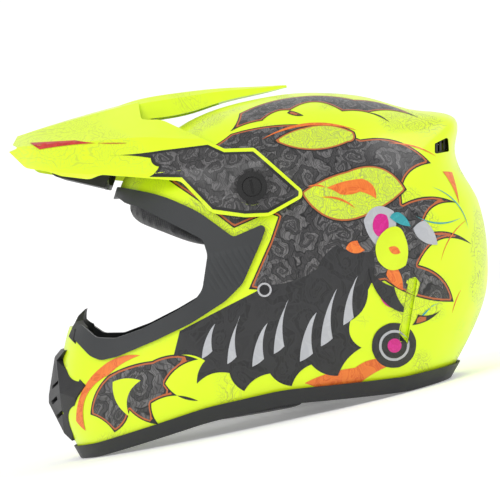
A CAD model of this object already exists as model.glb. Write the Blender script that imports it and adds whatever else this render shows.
import math

import bpy
from mathutils import Matrix, Vector, geometry
from mathutils.bvhtree import BVHTree
from mathutils.interpolate import poly_3d_calc
from mathutils.kdtree import KDTree


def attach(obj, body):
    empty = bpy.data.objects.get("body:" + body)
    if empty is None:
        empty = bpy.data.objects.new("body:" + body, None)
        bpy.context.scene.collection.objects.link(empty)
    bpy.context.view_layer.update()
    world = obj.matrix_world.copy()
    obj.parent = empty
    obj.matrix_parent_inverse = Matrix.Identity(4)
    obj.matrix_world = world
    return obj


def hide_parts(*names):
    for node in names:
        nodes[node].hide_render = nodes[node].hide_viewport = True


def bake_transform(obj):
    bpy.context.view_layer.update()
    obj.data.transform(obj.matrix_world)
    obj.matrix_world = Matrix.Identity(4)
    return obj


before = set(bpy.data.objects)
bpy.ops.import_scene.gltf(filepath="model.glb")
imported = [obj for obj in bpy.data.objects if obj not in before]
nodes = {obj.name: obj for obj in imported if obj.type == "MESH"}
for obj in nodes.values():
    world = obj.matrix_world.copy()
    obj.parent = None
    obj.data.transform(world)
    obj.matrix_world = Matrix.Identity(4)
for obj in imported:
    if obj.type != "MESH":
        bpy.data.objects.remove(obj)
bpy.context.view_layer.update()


# ------------------------------------------------------------------ stage, light and camera
# The helmet is seen square from its left side. The camera is rolled, so the helmet, which stands
# on its base, looks pitched forwards a little, as it sits on a head.
def make_stage():
    """A pale floor and a lit wall far beyond the right side, a white room, and three soft lights."""
    bpy.ops.mesh.primitive_plane_add(size=9.0, location=(0, 0, -0.0005))
    floor = bpy.context.object
    floor.name = "floor"
    material = bpy.data.materials.new("stage_paper")
    material.use_nodes = True
    shader = material.node_tree.nodes["Principled BSDF"]
    shader.inputs["Base Color"].default_value = (0.95, 0.95, 0.95, 1)
    shader.inputs["Roughness"].default_value = 0.9
    shader.inputs["Emission Color"].default_value = (1, 1, 1, 1)
    shader.inputs["Emission Strength"].default_value = 0.22
    floor.data.materials.append(material)

    bpy.ops.mesh.primitive_plane_add(size=15.0, location=(-4.4, 0, 0), rotation=(0, math.pi / 2, 0))
    wall = bpy.context.object
    wall.name = "lit_wall"
    lit = bpy.data.materials.new("stage_lit_wall")
    lit.use_nodes = True
    glow = lit.node_tree.nodes["Principled BSDF"]
    glow.inputs["Base Color"].default_value = (0.5, 0.5, 0.5, 1)
    glow.inputs["Emission Color"].default_value = (1, 1, 1, 1)
    glow.inputs["Emission Strength"].default_value = 0.62
    wall.data.materials.append(lit)

    world = bpy.data.worlds.new("studio")
    world.use_nodes = True
    world.node_tree.nodes["Background"].inputs["Color"].default_value = (1, 1, 1, 1)
    world.node_tree.nodes["Background"].inputs["Strength"].default_value = 0.62
    bpy.context.scene.world = world
    bpy.context.scene.view_settings.view_transform = "Standard"

    for name, place, power, size in (
        ("key", (1.7, -0.7, 1.9), 19, 1.3),
        ("rim", (0.2, 1.7, 1.5), 10, 1.0),
        ("front", (0.9, -2.0, 0.5), 5, 1.2),
    ):
        light = bpy.data.lights.new(name, "AREA")
        light.energy, light.size = power, size
        lamp = bpy.data.objects.new(name, light)
        lamp.location = place
        lamp.rotation_euler = (Vector((0, 0, 0.13)) - lamp.location).to_track_quat("-Z", "Y").to_euler()
        bpy.context.scene.collection.objects.link(lamp)


def make_camera():
    """A long lens, level with the middle of the shell and rolled about its own axis."""
    roll = math.radians(12.43)
    right = Vector((0, math.cos(roll), -math.sin(roll)))
    up = Vector((0, math.sin(roll), math.cos(roll)))
    turn = Matrix((right, up, Vector((1, 0, 0)))).transposed().to_4x4()
    lens = bpy.data.cameras.new("camera")
    lens.sensor_width = 36
    lens.lens = 198
    camera = bpy.data.objects.new("camera", lens)
    camera.matrix_world = Matrix.Translation((2.2, -0.0007, 0.1327)) @ turn
    bpy.context.scene.collection.objects.link(camera)
    bpy.context.scene.camera = camera


make_stage()
make_camera()


# ------------------------------------------------------------------ shader building
# Short ways to add nodes, and the groups that several materials share.
def add(tree, kind, inputs=(), **settings):
    """A shader node with its settings, and its inputs given as values or sockets."""
    made = tree.nodes.new("ShaderNode" + kind)
    for name, value in settings.items():
        setattr(made, name, value)
    for key, value in dict(inputs).items():
        if isinstance(value, bpy.types.NodeSocket):
            tree.links.new(value, made.inputs[key])
        else:
            made.inputs[key].default_value = value
    return made


def maths(tree, operation, a, b=0.0, c=0.0):
    """The result of a sum on up to three values or sockets."""
    return add(tree, "Math", {0: a, 1: b, 2: c}, operation=operation).outputs[0]


def mixed(tree, share, a, b):
    """Colour a where share is 0, and colour b where it is 1."""
    made = add(tree, "Mix", {0: share, 6: a, 7: b}, data_type="RGBA")
    return made.outputs[2]


def step(tree, value, low, high, to_low=0.0, to_high=1.0):
    """A smooth step of value from low to high."""
    made = add(tree, "MapRange", {"Value": value, "From Min": low, "From Max": high,
                                  "To Min": to_low, "To Max": to_high}, interpolation_type="SMOOTHSTEP")
    return made.outputs["Result"]


def group(name, inputs, outputs):
    """An empty node group with named sockets, and its two end nodes."""
    tree = bpy.data.node_groups.new(name, "ShaderNodeTree")
    for label, kind in inputs:
        tree.interface.new_socket(label, in_out="INPUT", socket_type=kind)
    for label, kind in outputs:
        tree.interface.new_socket(label, in_out="OUTPUT", socket_type=kind)
    return tree, tree.nodes.new("NodeGroupInput"), tree.nodes.new("NodeGroupOutput")


def use(tree, made_group, inputs=()):
    return add(tree, "Group", inputs, node_tree=made_group)


def wrap_group():
    """Flattens the shell: millimetres along it from the middle of each side, as a globe is unrolled."""
    tree, into, out = group("wrap", [("Point", "NodeSocketVector")], [("Flat", "NodeSocketVector")])
    centred = add(tree, "VectorMath", {0: into.outputs["Point"], 1: (0, 0.039, 0.13)}, operation="SUBTRACT")
    ray = add(tree, "VectorMath", {0: centred.outputs[0]}, operation="NORMALIZE")
    parts = add(tree, "SeparateXYZ", {0: ray.outputs[0]}).outputs
    turn = maths(tree, "ARCCOSINE", maths(tree, "MULTIPLY", maths(tree, "ABSOLUTE", parts[0]), 0.9999))
    stretch = maths(tree, "MULTIPLY", maths(tree, "DIVIDE", turn, maths(tree, "SINE", turn)), 128.0)
    flat = add(tree, "CombineXYZ", {0: maths(tree, "MULTIPLY", parts[1], stretch),
                                    1: maths(tree, "MULTIPLY", parts[2], stretch)})
    tree.links.new(flat.outputs[0], out.inputs["Flat"])
    return tree


def filigree_group():
    """Scroll work: each cell of a warped plane holds a spiral with swelling leaves."""
    tree, into, out = group("filigree", [("Flat", "NodeSocketVector"), ("Cell", "NodeSocketFloat")],
                            [("Lines", "NodeSocketFloat"), ("Shade", "NodeSocketFloat")])
    size = maths(tree, "DIVIDE", 1.0, into.outputs["Cell"])
    plane = add(tree, "VectorMath", {0: into.outputs["Flat"], 3: size}, operation="SCALE").outputs[0]
    stir = add(tree, "TexNoise", {"Vector": plane, "Scale": 1.3, "Detail": 1.5}).outputs["Color"]
    bent = add(tree, "VectorMath", {0: stir, 1: (0.85, 0.85, 0), 2: plane},
               operation="MULTIPLY_ADD").outputs[0]
    cell = add(tree, "TexVoronoi", {"Vector": bent, "Scale": 1.0, "Randomness": 0.8},
               voronoi_dimensions="2D")
    local = add(tree, "VectorMath", {0: bent, 1: cell.outputs["Position"]}, operation="SUBTRACT").outputs[0]
    parts = add(tree, "SeparateXYZ", {0: local}).outputs
    lot = add(tree, "SeparateColor", {0: cell.outputs["Color"]}).outputs
    reach = maths(tree, "MAXIMUM", cell.outputs["Distance"], 0.004)
    angle = maths(tree, "ARCTAN2", parts[1], parts[0])
    handed = maths(tree, "SIGN", maths(tree, "SUBTRACT", lot[0], 0.5))
    turn = maths(tree, "MULTIPLY_ADD", maths(tree, "MULTIPLY", angle, handed), 0.15915, lot[1])
    winding = maths(tree, "MULTIPLY_ADD", maths(tree, "LOGARITHM", reach, 2.718), 0.95, turn)
    saw = maths(tree, "ABSOLUTE", maths(tree, "SUBTRACT", maths(tree, "FRACT", winding), 0.5))
    leaf = maths(tree, "SINE", maths(tree, "MULTIPLY", angle, 9.0))
    wide = maths(tree, "MULTIPLY_ADD", leaf, 0.05, 0.29)
    inside = maths(tree, "SUBTRACT", wide, saw)
    stem = step(tree, inside, 0.0, 0.05)
    rim = maths(tree, "SUBTRACT", step(tree, inside, -0.05, 0.0), step(tree, inside, 0.03, 0.08))
    veins = add(tree, "TexWave", {"Vector": bent, "Scale": 3.2, "Distortion": 9.0, "Detail": 1.0,
                                  "Detail Scale": 1.4})
    hatch = step(tree, veins.outputs["Fac"], 0.66, 0.92)
    twigs = add(tree, "TexVoronoi", {"Vector": bent, "Scale": 3.1}, feature="DISTANCE_TO_EDGE",
                voronoi_dimensions="2D").outputs["Distance"]
    twig = step(tree, twigs, 0.05, 0.015)
    lines = maths(tree, "MAXIMUM", rim, maths(tree, "MULTIPLY", maths(tree, "MAXIMUM", hatch, twig), 0.62))
    tree.links.new(lines, out.inputs["Lines"])
    tone = add(tree, "TexNoise", {"Vector": bent, "Scale": 2.2, "Detail": 2.0}).outputs["Fac"]
    pale_stem = maths(tree, "MULTIPLY_ADD", stem, 0.75, 0.25)
    shade = maths(tree, "MULTIPLY", step(tree, tone, 0.25, 0.7, 0.35, 1.0), pale_stem)
    tree.links.new(shade, out.inputs["Shade"])
    return tree


def grain_group():
    """A normal with the fine pebble of moulded plastic or rubber."""
    tree, into, out = group("grain", [("Scale", "NodeSocketFloat"), ("Depth", "NodeSocketFloat")],
                            [("Normal", "NodeSocketVector"), ("Mottle", "NodeSocketFloat")])
    place = add(tree, "TexCoord").outputs["Object"]
    fine = add(tree, "TexNoise", {"Vector": place, "Scale": into.outputs["Scale"], "Detail": 3.0})
    broad = add(tree, "TexNoise", {"Vector": place, "Scale": 38.0, "Detail": 3.0})
    bump = add(tree, "Bump", {"Strength": into.outputs["Depth"], "Distance": 0.0003,
                              "Height": fine.outputs["Fac"]})
    tree.links.new(bump.outputs[0], out.inputs["Normal"])
    tree.links.new(broad.outputs["Fac"], out.inputs["Mottle"])
    return tree


WRAP, FILIGREE, GRAIN = wrap_group(), filigree_group(), grain_group()


def new_material(name, **fixed):
    """A material, its tree and its Principled shader, with the fixed sockets set."""
    material = bpy.data.materials.new(name)
    material.use_nodes = True
    tree = material.node_tree
    shader = tree.nodes["Principled BSDF"]
    for label, value in fixed.items():
        shader.inputs[label.replace("_", " ")].default_value = value
    return material, tree, shader


def link(tree, shader, **sockets):
    for label, socket in sockets.items():
        tree.links.new(socket, shader.inputs[label.replace("_", " ")])


def flat_of(tree):
    """The shell's flat map at each point, in millimetres."""
    place = add(tree, "TexCoord").outputs["Object"]
    return use(tree, WRAP, {"Point": place}).outputs["Flat"]


# ------------------------------------------------------------------ paint
# Fluorescent yellow lacquer. Patches of it carry fine grey scroll lines, and the gloss is uneven
# as a sprayed clear coat is.
YELLOW = (0.78, 0.98, 0.012, 1)


def yellow_paint(name, patches):
    """The lacquer, with scroll patches of the given strength."""
    material, tree, shader = new_material(name, Coat_Weight=0.22, Coat_Roughness=0.12, IOR=1.4)
    flat = flat_of(tree)
    lines = use(tree, FILIGREE, {"Flat": flat, "Cell": 15.0}).outputs["Lines"]
    cloud = add(tree, "TexNoise", {"Vector": flat, "Scale": 0.018, "Detail": 1.0}).outputs["Fac"]
    here = maths(tree, "MULTIPLY", step(tree, cloud, 0.5, 0.6), patches)
    ink = maths(tree, "MULTIPLY", lines, here)
    drift = add(tree, "TexNoise", {"Vector": flat, "Scale": 0.03, "Detail": 2.0}).outputs["Fac"]
    base = mixed(tree, drift, YELLOW, (0.70, 0.92, 0.010, 1))
    link(tree, shader, Base_Color=mixed(tree, ink, base, (0.30, 0.36, 0.08, 1)),
         Roughness=step(tree, drift, 0.2, 0.8, 0.34, 0.46))
    peel = add(tree, "TexNoise", {"Vector": flat, "Scale": 0.35, "Detail": 1.0}).outputs["Fac"]
    bump = add(tree, "Bump", {"Strength": 0.05, "Distance": 0.0004, "Height": peel})
    link(tree, shader, Normal=bump.outputs[0])
    shader.inputs["Emission Color"].default_value = YELLOW
    shader.inputs["Emission Strength"].default_value = 0.03
    return material


PAINT = yellow_paint("paint_yellow", 0.75)
PEAK_PAINT = yellow_paint("peak_yellow", 0.35)

RUST = (0.50, 0.12, 0.03, 1)
SOOT = (0.012, 0.012, 0.012, 1)


def ink(name, colour, second=None, keyline=None, cell=13.0, third=None):
    """Printed film: scroll work in up to two more colours, and lines that follow the shape's edge."""
    material, tree, shader = new_material(name, Coat_Weight=0.2, Coat_Roughness=0.14, IOR=1.42)
    flat = flat_of(tree)
    drift = add(tree, "TexNoise", {"Vector": flat, "Scale": 0.05, "Detail": 3.0}).outputs["Fac"]
    dark = tuple(0.82 * part for part in colour[:3]) + (1,)
    fill = mixed(tree, drift, colour, dark)
    if second:
        scroll = use(tree, FILIGREE, {"Flat": flat, "Cell": cell}).outputs
        fill = mixed(tree, scroll["Shade"], fill, second)
        fill = mixed(tree, scroll["Lines"], fill, third or second)
    if keyline:
        edge = add(tree, "Attribute", attribute_name="edge").outputs["Fac"]
        inner = maths(tree, "SUBTRACT", step(tree, edge, 0.0010, 0.0012), step(tree, edge, 0.0022, 0.0025))
        outer = maths(tree, "SUBTRACT", 1.0, step(tree, edge, 0.0010, 0.0013))
        fill = mixed(tree, outer, fill, SOOT)
        fill = mixed(tree, inner, fill, keyline)
    link(tree, shader, Base_Color=fill, Roughness=step(tree, drift, 0.2, 0.8, 0.36, 0.48))
    return material


INKS = {
    "dark": ink("ink_dark", (0.026, 0.025, 0.027, 1), (0.165, 0.160, 0.162, 1), RUST, 19.0,
                (0.010, 0.010, 0.011, 1)),
    "peak_dark": ink("ink_peak_dark", (0.030, 0.029, 0.030, 1), (0.155, 0.150, 0.152, 1), SOOT, 17.0, SOOT),
    "black": ink("ink_black", (0.011, 0.011, 0.012, 1), (0.026, 0.026, 0.028, 1), None, 30.0),
    "yellow": ink("ink_yellow", YELLOW, (0.62, 0.80, 0.05, 1), RUST, 15.0, (0.40, 0.48, 0.10, 1)),
    "plain_yellow": ink("ink_plain_yellow", YELLOW),
    "orange": ink("ink_orange", (0.80, 0.13, 0.018, 1), (0.88, 0.22, 0.03, 1), None, 24.0),
    "red": ink("ink_red", (0.52, 0.018, 0.022, 1), (0.62, 0.04, 0.03, 1), None, 24.0),
    "pale": ink("ink_pale", (0.56, 0.57, 0.60, 1), (0.46, 0.47, 0.50, 1), None, 26.0),
    "pink": ink("ink_pink", (0.76, 0.02, 0.32, 1), (0.60, 0.01, 0.22, 1), None, 20.0),
    "teal": ink("ink_teal", (0.05, 0.45, 0.50, 1), (0.03, 0.32, 0.36, 1), None, 20.0),
}


# ------------------------------------------------------------------ rubber, plastic, metal, foam
# Each is a base with a fine grain and an uneven sheen. The scale is in waves per metre.
def moulded(name, colour, rough, grain, depth, worn=1.3):
    """Moulded plastic or rubber, with lighter mottled places."""
    material, tree, shader = new_material(name, IOR=1.5)
    feel = use(tree, GRAIN, {"Scale": grain, "Depth": depth}).outputs
    lighter = tuple(worn * part for part in colour[:3]) + (1,)
    link(tree, shader, Base_Color=mixed(tree, feel["Mottle"], colour, lighter),
         Roughness=step(tree, feel["Mottle"], 0.25, 0.75, rough - 0.06, rough + 0.06),
         Normal=feel["Normal"])
    return material


def ribbed_rubber():
    """The gasket's rubber: satin, with slanted ribs moulded into the band behind the port."""
    material = moulded("gasket_rubber", (0.026, 0.028, 0.030, 1), 0.50, 900.0, 0.25)
    tree = material.node_tree
    shader = tree.nodes["Principled BSDF"]
    place = add(tree, "TexCoord").outputs["Object"]
    parts = add(tree, "SeparateXYZ", {0: place}).outputs
    across = maths(tree, "MULTIPLY_ADD", parts[2], 0.35, parts[1])
    rib = maths(tree, "PINGPONG", maths(tree, "MULTIPLY", across, 1000.0), 2.4)
    height = step(tree, rib, 0.3, 1.5)
    low = step(tree, parts[2], 0.104, 0.110)
    high = step(tree, parts[2], 0.138, 0.132)
    front = step(tree, parts[1], -0.040, -0.034)
    band = maths(tree, "MULTIPLY", maths(tree, "MULTIPLY", low, high), front)
    fine = next(n for n in tree.nodes if n.type == "GROUP").outputs["Normal"]
    bump = add(tree, "Bump", {"Strength": 0.55, "Distance": 0.0007, "Normal": fine,
                              "Height": maths(tree, "MULTIPLY", height, band)})
    link(tree, shader, Normal=bump.outputs[0])
    return material


def bead_foam():
    """Expanded foam: packed beads with dark seams between them."""
    material, tree, shader = new_material("bead_foam", Roughness=0.85)
    place = add(tree, "TexCoord").outputs["Object"]
    beads = add(tree, "TexVoronoi", {"Vector": place, "Scale": 330.0}, feature="DISTANCE_TO_EDGE")
    seam = step(tree, beads.outputs["Distance"], 0.02, 0.16)
    link(tree, shader, Base_Color=mixed(tree, seam, (0.012, 0.012, 0.013, 1), (0.040, 0.040, 0.043, 1)),
         Normal=add(tree, "Bump", {"Strength": 0.6, "Distance": 0.0006, "Height": seam}).outputs[0])
    return material


def knit():
    """Brushed lining: small staggered loops in a dark knit, over slow shade changes."""
    material, tree, shader = new_material("lining_knit", Roughness=0.92)
    shader.inputs["Sheen Weight"].default_value = 0.35
    shader.inputs["Sheen Roughness"].default_value = 0.5
    place = add(tree, "TexCoord").outputs["Object"]
    cells = add(tree, "TexVoronoi", {"Vector": place, "Scale": 620.0, "Randomness": 0.25})
    loops = cells.outputs["Distance"]
    nap = add(tree, "TexNoise", {"Vector": place, "Scale": 60.0, "Detail": 4.0}).outputs["Fac"]
    height = maths(tree, "MULTIPLY_ADD", nap, 0.6, maths(tree, "SUBTRACT", 1.0, loops))
    shade = mixed(tree, step(tree, loops, 0.15, 0.55), (0.050, 0.050, 0.054, 1), (0.016, 0.016, 0.018, 1))
    link(tree, shader, Base_Color=mixed(tree, step(tree, nap, 0.35, 0.7), shade, (0.034, 0.034, 0.037, 1)),
         Normal=add(tree, "Bump", {"Strength": 0.5, "Distance": 0.0005, "Height": height}).outputs[0])
    return material


def webbing():
    """Woven strap: a herringbone of fine ribs that runs along and across the strap."""
    material, tree, shader = new_material("strap_weave", Roughness=0.72)
    shader.inputs["Sheen Weight"].default_value = 0.25
    place = add(tree, "TexCoord").outputs["Object"]
    parts = add(tree, "SeparateXYZ", {0: place}).outputs
    along = maths(tree, "SUBTRACT", parts[0], parts[2])
    zig = maths(tree, "PINGPONG", maths(tree, "MULTIPLY", parts[1], 1000.0), 1.5)
    weft = maths(tree, "MULTIPLY_ADD", along, 1000.0, zig)
    rib = maths(tree, "PINGPONG", weft, 0.55)
    height = step(tree, rib, 0.05, 0.45)
    link(tree, shader, Base_Color=mixed(tree, height, (0.006, 0.006, 0.007, 1), (0.045, 0.045, 0.048, 1)),
         Normal=add(tree, "Bump", {"Strength": 0.7, "Distance": 0.0004, "Height": height}).outputs[0])
    return material


def metal(name, colour, rough, brushed):
    """Bare metal with fine lines drawn across it."""
    material, tree, shader = new_material(name, Metallic=1.0)
    place = add(tree, "TexCoord").outputs["Object"]
    long = add(tree, "Mapping", {"Vector": place, "Scale": (1, 1, 14)}).outputs[0]
    lines = add(tree, "TexNoise", {"Vector": long, "Scale": 260.0, "Detail": 3.0}).outputs["Fac"]
    darker = tuple(0.8 * part for part in colour[:3]) + (1,)
    bump = add(tree, "Bump", {"Strength": 0.15 * brushed, "Distance": 0.0002, "Height": lines})
    link(tree, shader, Base_Color=mixed(tree, lines, colour, darker),
         Roughness=step(tree, lines, 0.3, 0.7, rough, rough + brushed), Normal=bump.outputs[0])
    return material


def eyed_rivet():
    """Bright rivet head with a black recess round its middle."""
    material = metal("rivet", (0.72, 0.72, 0.74, 1), 0.14, 0.08)
    tree = material.node_tree
    shader = tree.nodes["Principled BSDF"]
    parts = add(tree, "SeparateXYZ", {0: add(tree, "TexCoord").outputs["Object"]}).outputs
    across, up = [maths(tree, "SUBTRACT", parts[k], at) for k, at in ((1, 0.0035), (2, 0.101))]
    square = maths(tree, "MULTIPLY_ADD", across, across, maths(tree, "MULTIPLY", up, up))
    reach = maths(tree, "SQRT", square)
    rim = step(tree, reach, 0.0037, 0.0042)
    bright = shader.inputs["Base Color"].links[0].from_socket
    link(tree, shader, Base_Color=mixed(tree, rim, (0.010, 0.010, 0.011, 1), bright), Metallic=rim)
    return material


GLOSS = moulded("gloss_black", (0.010, 0.010, 0.010, 1), 0.22, 300.0, 0.05)
MATT = moulded("vent_plastic", (0.011, 0.011, 0.012, 1), 0.50, 1500.0, 0.35)
FINISH = {
    "gasket": ribbed_rubber(),
    "trim": moulded("trim_rubber", (0.014, 0.015, 0.016, 1), 0.55, 900.0, 0.3),
    "foam": bead_foam(),
    "knit": knit(),
    "webbing": webbing(),
    "steel": metal("steel", (0.55, 0.55, 0.57, 1), 0.28, 0.2),
    "chrome": eyed_rivet(),
    "brass": metal("brass", (0.68, 0.50, 0.22, 1), 0.25, 0.15),
}
DRESS = {
    "outer_shell": PAINT, "side_vent_louver_left": PAINT, "side_vent_louver_right": PAINT,
    "peak": PEAK_PAINT, "eyeport_gasket": FINISH["gasket"], "base_trim": FINISH["trim"],
    "crown_foam": FINISH["foam"], "cheek_foam_left": FINISH["foam"], "cheek_foam_right": FINISH["foam"],
    "chin_foam": FINISH["foam"], "d_ring_outer": FINISH["steel"], "d_ring_inner": FINISH["steel"],
    "strap_snap_stud": FINISH["steel"], "rivet_washer_left": FINISH["steel"],
    "rivet_washer_right": FINISH["steel"], "peak_insert_left": FINISH["brass"],
    "peak_insert_right": FINISH["brass"], "peak_centre_insert": FINISH["brass"],
    "strap_rivet_left": FINISH["chrome"], "strap_rivet_right": FINISH["chrome"],
    "strap_anchor_left": FINISH["webbing"], "strap_anchor_right": FINISH["webbing"],
    "strap_tail_left": FINISH["webbing"], "strap_tail_right": FINISH["webbing"],
    "peak_screw_left": GLOSS, "peak_screw_right": GLOSS, "peak_centre_screw": GLOSS,
    "peak_washer_left": GLOSS, "peak_washer_right": GLOSS,
}
for label, node in nodes.items():
    node.data.materials.clear()
    fabric = label in ("crown_liner", "brow_pad", "neck_roll") or "_pad_" in label
    node.data.materials.append(DRESS.get(label, FINISH["knit"] if fabric else MATT))

# ------------------------------------------------------------------ printed graphics
# Each graphic is a thin film on the shell or the peak. Its outline is a side view in
# millimetres: (y, z, swell) corners, where swell bows the way to the next corner into an arc, to
# the left of the way if it is above 0, by that share of the way's length.
CENTRE = Vector((0, 0.039, 0.130))


def arcs(corners, spacing=1.2):
    """The outline's points, with its swollen sides as arcs."""
    points = []
    for i, corner in enumerate(corners):
        y, z, swell = (*corner, 0.0)[:3]
        after = corners[(i + 1) % len(corners)]
        dy, dz = after[0] - y, after[1] - z
        count = max(2, int(math.hypot(dy, dz) / spacing))
        for k in range(count):
            t = k / count
            bow = 4 * t * (1 - t) * swell
            points.append((y + dy * t - dz * bow, z + dz * t + dy * bow))
    return points


class Surface:
    """A CAD node's outside, to be hit by rays, with its own smooth normals."""

    def __init__(self, name):
        self.mesh = nodes[name].data
        self.tree = BVHTree.FromPolygons([v.co for v in self.mesh.vertices],
                                         [tuple(p.vertices) for p in self.mesh.polygons])

    def hit(self, start, direction):
        """Where a ray meets the surface, and the normal there, or None."""
        place, _, index, _ = self.tree.ray_cast(start, direction, 0.5)
        if place is None:
            return None
        face = self.mesh.polygons[index]
        corners = [self.mesh.vertices[v].co for v in face.vertices]
        shares = poly_3d_calc(corners, place)
        normal = Vector((0, 0, 0))
        for share, loop in zip(shares, face.loop_indices):
            normal += share * self.mesh.corner_normals[loop].vector
        return place, normal.normalized()


def unrolled(place):
    """A point of the shell on a flat map, in metres, as a globe is unrolled from its pole."""
    ray = (place - CENTRE).normalized()
    turn = math.acos(min(1.0, ray.x))
    stretch = 0.128 * turn / max(1e-6, math.sin(turn))
    return Vector((ray.y * stretch, ray.z * stretch))


def rolled(flat):
    """The direction from the centre to a point of the flat map."""
    turn = flat.length / 0.128
    across = flat.normalized() * math.sin(turn) if turn > 1e-9 else Vector((0, 0))
    return Vector((math.cos(turn), across.x, across.y))


def film(name, surface, outline, lift, paint, body, grid=0.0026, wrapped=True, extra=()):
    """A printed shape on each side: its outline and a grid inside it, laid on the surface.

    It is laid from the centre if it is wrapped, and from the side if it isn't. The extra points
    are (y, z, level): the film lies no lower there than the level.
    """
    rim, spots = [], []
    for y, z in arcs(outline):
        found = surface.hit(Vector((0.3, y / 1000, z / 1000)), Vector((-1, 0, 0)))
        if found and found[0].x > 0.002:
            rim.append(unrolled(found[0]) if wrapped else Vector((y / 1000, z / 1000)))
            spots.append(found)
    count = len(rim)
    border = KDTree(count)
    for i, (place, _) in enumerate(spots):
        border.insert(place, i)
    border.balance()
    low = [min(p[k] for p in rim) for k in (0, 1)]
    high = [max(p[k] for p in rim) for k in (0, 1)]
    steps = [Vector((y / 1000, z / 1000)) for y, z, _ in extra]
    inner = list(steps)
    for i in range(int((high[0] - low[0]) / grid)):
        for j in range(int((high[1] - low[1]) / grid)):
            spot = Vector((low[0] + (i + 0.5 + 0.5 * (j % 2)) * grid, low[1] + (j + 0.5) * grid))
            if all((spot - place).length > grid / 2 for place in steps):
                inner.append(spot)
    flat, _, faces, came, _, _ = geometry.delaunay_2d_cdt(
        rim + inner, [], [list(range(count))], 1, 1e-6)
    points, normals, kept, edges = [], [], {}, []
    for i, spot in enumerate(flat):
        source = came[i][0] if came[i] else count + len(extra)
        if source < count:
            found = spots[source]
        elif wrapped:
            ray = rolled(spot)
            found = surface.hit(CENTRE + ray * 0.3, -ray)
        else:
            found = surface.hit(Vector((0.3, spot.x, spot.y)), Vector((-1, 0, 0)))
        level = extra[source - count][2] if count <= source < count + len(extra) else 0
        if found and found[0].x < level:
            found = Vector((level, spot.x, spot.y)), Vector((1, 0, 0))
        if found is None or found[0].x < 0.001 or (found[0] - CENTRE).length < 0.085:
            continue
        kept[i] = len(points)
        points.append(found[0] + found[1] * lift)
        normals.append(found[1])
        edges.append(border.find(found[0])[2])
    triangles = [tuple(kept[v] for v in face) for face in faces if all(v in kept for v in face)]
    for side in (1, -1):
        mesh = bpy.data.meshes.new(name)
        turned = triangles if side > 0 else [face[::-1] for face in triangles]
        mesh.from_pydata([(p.x * side, p.y, p.z) for p in points], [], turned)
        facing = sum(mesh.polygons[k].normal.dot(Vector((normals[f[0]].x * side, *normals[f[0]].yz)))
                     for k, f in enumerate(turned[:50]))
        if facing < 0:
            mesh.flip_normals()
        mesh.attributes.new("edge", "FLOAT", "POINT").data.foreach_set("value", edges)
        mesh.shade_smooth()
        mesh.normals_split_custom_set_from_vertices([(n.x * side, n.y, n.z) for n in normals])
        mesh.materials.append(INKS[paint])
        piece = bpy.data.objects.new(f"{name}_{'left' if side > 0 else 'right'}", mesh)
        bpy.context.scene.collection.objects.link(piece)
        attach(piece, body)


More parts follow.
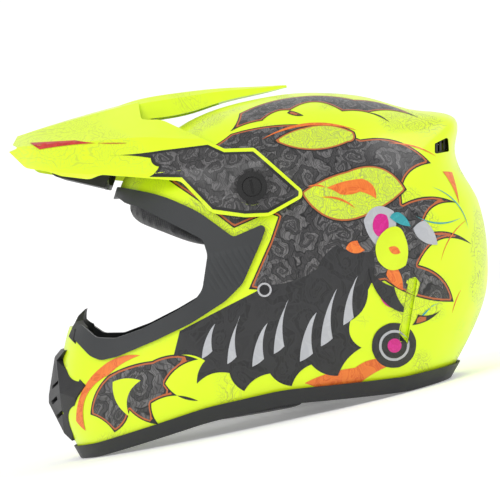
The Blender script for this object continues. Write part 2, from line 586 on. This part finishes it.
SHELL_PRINTS = [
    ("print_flame", "dark", 0.00022, [
        (-50, 198), (-29, 175.5), (-9, 151.5), (19, 157), (25.5, 152.5), (15.5, 136), (-8, 104), (44, 90),
        (94, 88, -0.08), (144, 60, -0.16), (122, 94, 0.26), (168, 100, -0.14), (130, 116, 0.26),
        (163, 134, -0.12), (120, 142, 0.24), (150, 168, -0.14), (100, 197, -0.04), (56, 219, -0.04),
        (4, 223, 0.05), (-24, 214)]),
    ("print_bay", "yellow", 0.00034, [
        (45, 167, -0.24), (98, 140, -0.05), (126, 152, -0.22), (84, 176, -0.05)]),
    ("print_crown", "dark", 0.00022, [
        (4, 225, 0.05), (30, 228, 0.2), (62, 225, 0.1), (50, 230, 0.2), (92, 222, 0.1), (126, 206, -0.1),
        (112, 217, 0.1), (150, 205, -0.08), (104, 230, -0.05), (60, 242, -0.05), (14, 238, 0.08)]),
    ("print_lens", "yellow", 0.00036, [
        (34, 210, -0.12), (90, 196, -0.35), (97, 204, -0.1), (60, 216, -0.06)]),
    ("print_panel", "black", 0.00030, [
        (-66, 84), (-75, 66, 0.12), (-52, 58, -0.1), (-62, 42, 0.14), (-36, 45, -0.12), (-28, 29, 0.12),
        (-6, 38, -0.12), (8, 25, 0.12), (26, 38, -0.12), (44, 25, 0.1), (66, 42, 0.2), (62, 64, -0.15),
        (80, 84, -0.1), (90, 112, 0.1), (64, 122, -0.1), (46, 108, 0.08), (8, 104), (-30, 94)]),
    ("print_chin", "dark", 0.00024, [
        (-150, 34, 0.1), (-134, 17, -0.12), (-118, 32, -0.1), (-98, 17, 0.1), (-100, 34, 0.14),
        (-64, 29, 0.14), (-86, 47, 0.12), (-57, 60, -0.12), (-92, 66, -0.05), (-128, 62, -0.1)]),
    ("print_chin_spike", "plain_yellow", 0.00038, [(-126, 56, -0.15), (-119, 27, 0.2), (-104, 53, -0.1)]),
    ("print_chin_arc", "orange", 0.00044, [
        (-163, 31, -0.05), (-157, 22, 0.2), (-128, 62, 0.06), (-100, 72, -0.1), (-130, 70, -0.12)]),
    ("print_swoosh", "orange", 0.00050, [
        (52, 170, 0.1), (75, 159, -0.08), (90, 158, 0.05), (101, 150, -0.2), (94, 167, -0.05),
        (66, 166, -0.15)]),
    ("print_sting", "orange", 0.00058, [(60, 160, 0.08), (84, 146, -0.14)]),
    ("print_wedge", "orange", 0.00026, [
        (18, 25, 0.02), (30, 17, 0.02), (60, 16, 0.05), (90, 24, -0.16), (58, 28, -0.05)]),
    ("print_leaf", "dark", 0.00030, [(108, 50, -0.1), (132, 56, 0.12), (114, 57, 0.05)]),
    ("print_rear_dart", "orange", 0.00026, [(158, 160, 0.06), (165, 132, -0.03), (166, 158, -0.02)]),
    ("print_rear_sliver", "orange", 0.00026, [(141, 51, 0.06), (152, 68, -0.02)]),
    ("print_crown_line", "orange", 0.00044, [(26, 213, 0.10), (100, 204, -0.13)]),
    ("print_rear_hook", "orange", 0.00026, [(140, 92, 0.10), (170, 120, -0.12)]),
    ("print_rear_whip", "teal", 0.00026, [(146, 150, 0.14), (168, 112, -0.16)]),
    ("print_rear_flick", "orange", 0.00026, [(120, 190, 0.06), (156, 172, -0.09)]),
    ("print_rear_line", "teal", 0.00026, [(128, 131, -0.12), (164, 122, 0.15)]),
    ("print_drift", "teal", 0.00026, [(112, 52, 0.1), (138, 62, -0.02), (126, 61, 0.05)]),
]
shell_side = Surface("outer_shell")
for name, paint, lift, outline in SHELL_PRINTS:
    film(name, shell_side, outline, lift, paint, "helmet")

# Slanted pale brush strokes over the black panel. They say nothing.
STROKES = [(-54, 60, 24, 9), (-36, 52, 34, 8), (-18, 46, 30, 10), (0, 52, 38, 9), (18, 42, 34, 11),
           (36, 50, 40, 10), (56, 62, 34, 9)]
for k, (y, z, tall, wide) in enumerate(STROKES):
    outline = [(y, z, -0.05), (y + wide, z + 4, 0.08), (y + wide + 0.28 * tall, z + tall, -0.04),
               (y + 0.42 * tall, z + tall - 5, -0.06)]
    film(f"print_stroke_{k}", shell_side, outline, 0.00042, "pale", "helmet")

# Loose colour marks behind the panel: a ring with a coloured middle, and darts round it.
MARKS = [
    ("dart_a", "pale", [(88, 136, -0.1), (96, 112, -0.2), (112, 138, -0.3)]),
    ("dart_b", "pink", [(95, 134, -0.2), (98, 120, -0.2), (106, 136, -0.3)]),
    ("dart_c", "pale", [(128, 112, -0.1), (140, 106, -0.1), (134, 126, -0.1), (124, 122, -0.1)]),
    ("dart_d", "orange", [(70, 118, -0.2), (84, 114, 0.1), (80, 122, -0.2)]),
    ("dart_e", "orange", [(96, 92, -0.1), (106, 78, -0.1), (104, 98, -0.2)]),
    ("dart_f", "teal", [(108, 134, -0.1), (122, 124, -0.1), (116, 136, -0.2)]),
    ("dart_g", "pink", [(88, 76, -0.2), (100, 66, -0.1), (98, 74, -0.2)]),
    ("dart_h", "plain_yellow", [(92, 104, -0.25), (112, 96, -0.1), (116, 118, -0.3), (104, 126, -0.2)]),
    ("dart_i", "orange", [(102, 112, -0.3), (110, 106, -0.3)]),
    ("dart_j", "black", [(84, 100, -0.1), (92, 70, -0.1), (108, 60, 0.1), (100, 82, 0.1)]),
]


# The swell that bows a quarter of a circle out from its chord.
BOW = -0.207


def ring_outline(y, z, radius):
    """A circle, as four corners whose sides are bowed outwards."""
    return [(y + radius, z, BOW), (y, z + radius, BOW), (y - radius, z, BOW), (y, z - radius, BOW)]


for k, (name, paint, outline) in enumerate(MARKS):
    film("print_" + name, shell_side, outline, 0.00050 + 0.00007 * k, paint, "helmet")
for name, paint, radius, lift in (("rim", "black", 17.5, 0.00046), ("band", "pale", 12.0, 0.00060),
                                  ("disc", "black", 10.0, 0.00074), ("hub", "pink", 5.5, 0.00088)):
    outline = ring_outline(91, 38, radius)
    film("print_ring_" + name, shell_side, outline, lift, paint, "helmet")

peak_side = Surface("peak")
PEAK_PRINTS = [
    ("print_wing", "peak_dark", 0.00022, [
        (-64, 204), (-39.5, 198), (-21.5, 168.8), (1.5, 160.2), (18.8, 157.2), (43.8, 164.8), (44.8, 168),
        (17.8, 205.2), (-4, 209.8), (-15, 218.5), (-50, 222, 0.02), (-92, 227.5, 0.03), (-60, 218, -0.2),
        (-55, 210, 0.1)]),
    ("print_peak_stripe", "red", 0.00040, [
        (-151, 251.5), (-144, 244.4, 0.03), (-75, 233.5, 0.03), (-116, 245.5)]),
]
# The wing's print steps up onto the flat boss round the screw: no lower than the boss's face to
# just past its edge, and then straight down. The screw's place and the boss's radius are in
# millimetres.
SCREW_AT, BOSS = (11.0, 179.0), 13.8
boss_face = peak_side.hit(Vector((0.3, 0.0235, 0.179)), Vector((-1, 0, 0)))[0].x
step_points = []
for radius, level in ((BOSS + 0.25, boss_face), (BOSS + 0.3, 0)):
    for k in range(96):
        turn = k * math.tau / 96
        y, z = SCREW_AT[0] + radius * math.cos(turn), SCREW_AT[1] + radius * math.sin(turn)
        step_points.append((y, z, level))
for name, paint, lift, outline in PEAK_PRINTS:
    film(name, peak_side, outline, lift, paint, "peak", grid=0.0016, wrapped=False,
         extra=step_points if name == "print_wing" else ())


# ------------------------------------------------------------------ padding The lining
# pieces keep their CAD shape, shrunk a little and then blown up as cloth, so that their
# sides swell between the edges.
def stuffed(label, voxel, shrink, cap):
    """A pad in place of a CAD node, whose swelling is held to the cap."""
    soft = bpy.data.objects.new("soft_" + label, nodes[label].data.copy())
    bpy.context.scene.collection.objects.link(soft)
    bpy.ops.object.select_all(action="DESELECT")
    bpy.context.view_layer.objects.active = soft
    soft.select_set(True)
    weld = soft.modifiers.new("weld", "WELD")
    weld.merge_threshold = 0.00005
    remesh = soft.modifiers.new("remesh", "REMESH")
    remesh.mode, remesh.voxel_size = "VOXEL", voxel
    smooth = soft.modifiers.new("smooth", "SMOOTH")
    smooth.factor, smooth.iterations = 0.5, 4
    for modifier in (weld, remesh, smooth):
        bpy.ops.object.modifier_apply(modifier=modifier.name)
    inward = [v.normal * -shrink for v in soft.data.vertices]
    for vertex, move in zip(soft.data.vertices, inward):
        vertex.co += move
    start = [v.co.copy() for v in soft.data.vertices]
    cloth = soft.modifiers.new("cloth", "CLOTH")
    cloth.settings.use_pressure = True
    cloth.settings.uniform_pressure_force = 4
    cloth.settings.effector_weights.gravity = 0
    for frame_number in range(1, 21):
        bpy.context.scene.frame_set(frame_number)
    bpy.ops.object.modifier_apply(modifier=cloth.name)
    bpy.context.scene.frame_set(1)
    for vertex, home in zip(soft.data.vertices, start):
        move = vertex.co - home
        if move.length > cap:
            vertex.co = home + move * (cap / move.length)
    sub = soft.modifiers.new("sub", "SUBSURF")
    sub.levels = sub.render_levels = 1
    bpy.ops.object.modifier_apply(modifier=sub.name)
    soft.data.shade_smooth()
    soft.data.materials.clear()
    soft.data.materials.append(FINISH["knit"])
    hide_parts(label)
    return soft


for label, voxel, shrink, cap, fill in (
    ("crown_liner", 0.004, 0.0010, 0.0022, 0.6), ("brow_pad", 0.004, 0.0018, 0.003, 0.7),
    ("cheek_pad_left", 0.0045, 0.0022, 0.004, 0.8), ("cheek_pad_right", 0.0045, 0.0022, 0.004, 0.8),
    ("neck_roll", 0.004, 0.0015, 0.003, 0.7),
):
    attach(stuffed(label, voxel, shrink, cap), "helmet")
for side in ("left", "right"):
    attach(stuffed(f"strap_pad_{side}", 0.0014, 0.0002, 0.0012), f"strap_{side}")

# ------------------------------------------------------------------ chin strap
# Each side's webbing is one strip, from its rivet to its free end. It bends where it leaves the
# cheek pad. Its edges are rounded, and its sewn loop or fold keeps its CAD shape.
def strip(side, sign):
    """The strap's two ends and a slanted bridge between them, remeshed into one."""
    parts = []
    for label in (f"strap_anchor_{side}", f"strap_tail_{side}"):
        part = bpy.data.objects.new("part_" + label, nodes[label].data.copy())
        bpy.context.scene.collection.objects.link(part)
        parts.append(part)
    bpy.ops.object.select_all(action="DESELECT")
    bpy.ops.mesh.primitive_cube_add(size=1, location=(sign * 0.0615, 0.0035, 0.0355),
                                    rotation=(0, -sign * 0.32, 0), scale=(0.006, 0.024, 0.0019))
    bpy.ops.object.transform_apply(location=True, rotation=True, scale=True)
    for part in parts:
        part.select_set(True)
    bpy.ops.object.join()
    strap = bpy.context.object
    strap.name = "webbing_" + side
    remesh = strap.modifiers.new("remesh", "REMESH")
    remesh.mode, remesh.voxel_size = "VOXEL", 0.0008
    smooth = strap.modifiers.new("smooth", "SMOOTH")
    smooth.factor, smooth.iterations = 0.5, 3
    for name in ("remesh", "smooth"):
        bpy.ops.object.modifier_apply(modifier=name)
    strap.data.shade_smooth()
    strap.data.materials.clear()
    strap.data.materials.append(FINISH["webbing"])
    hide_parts(f"strap_anchor_{side}", f"strap_tail_{side}")
    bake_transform(strap)


for side, sign in (("left", 1), ("right", -1)):
    strip(side, sign)
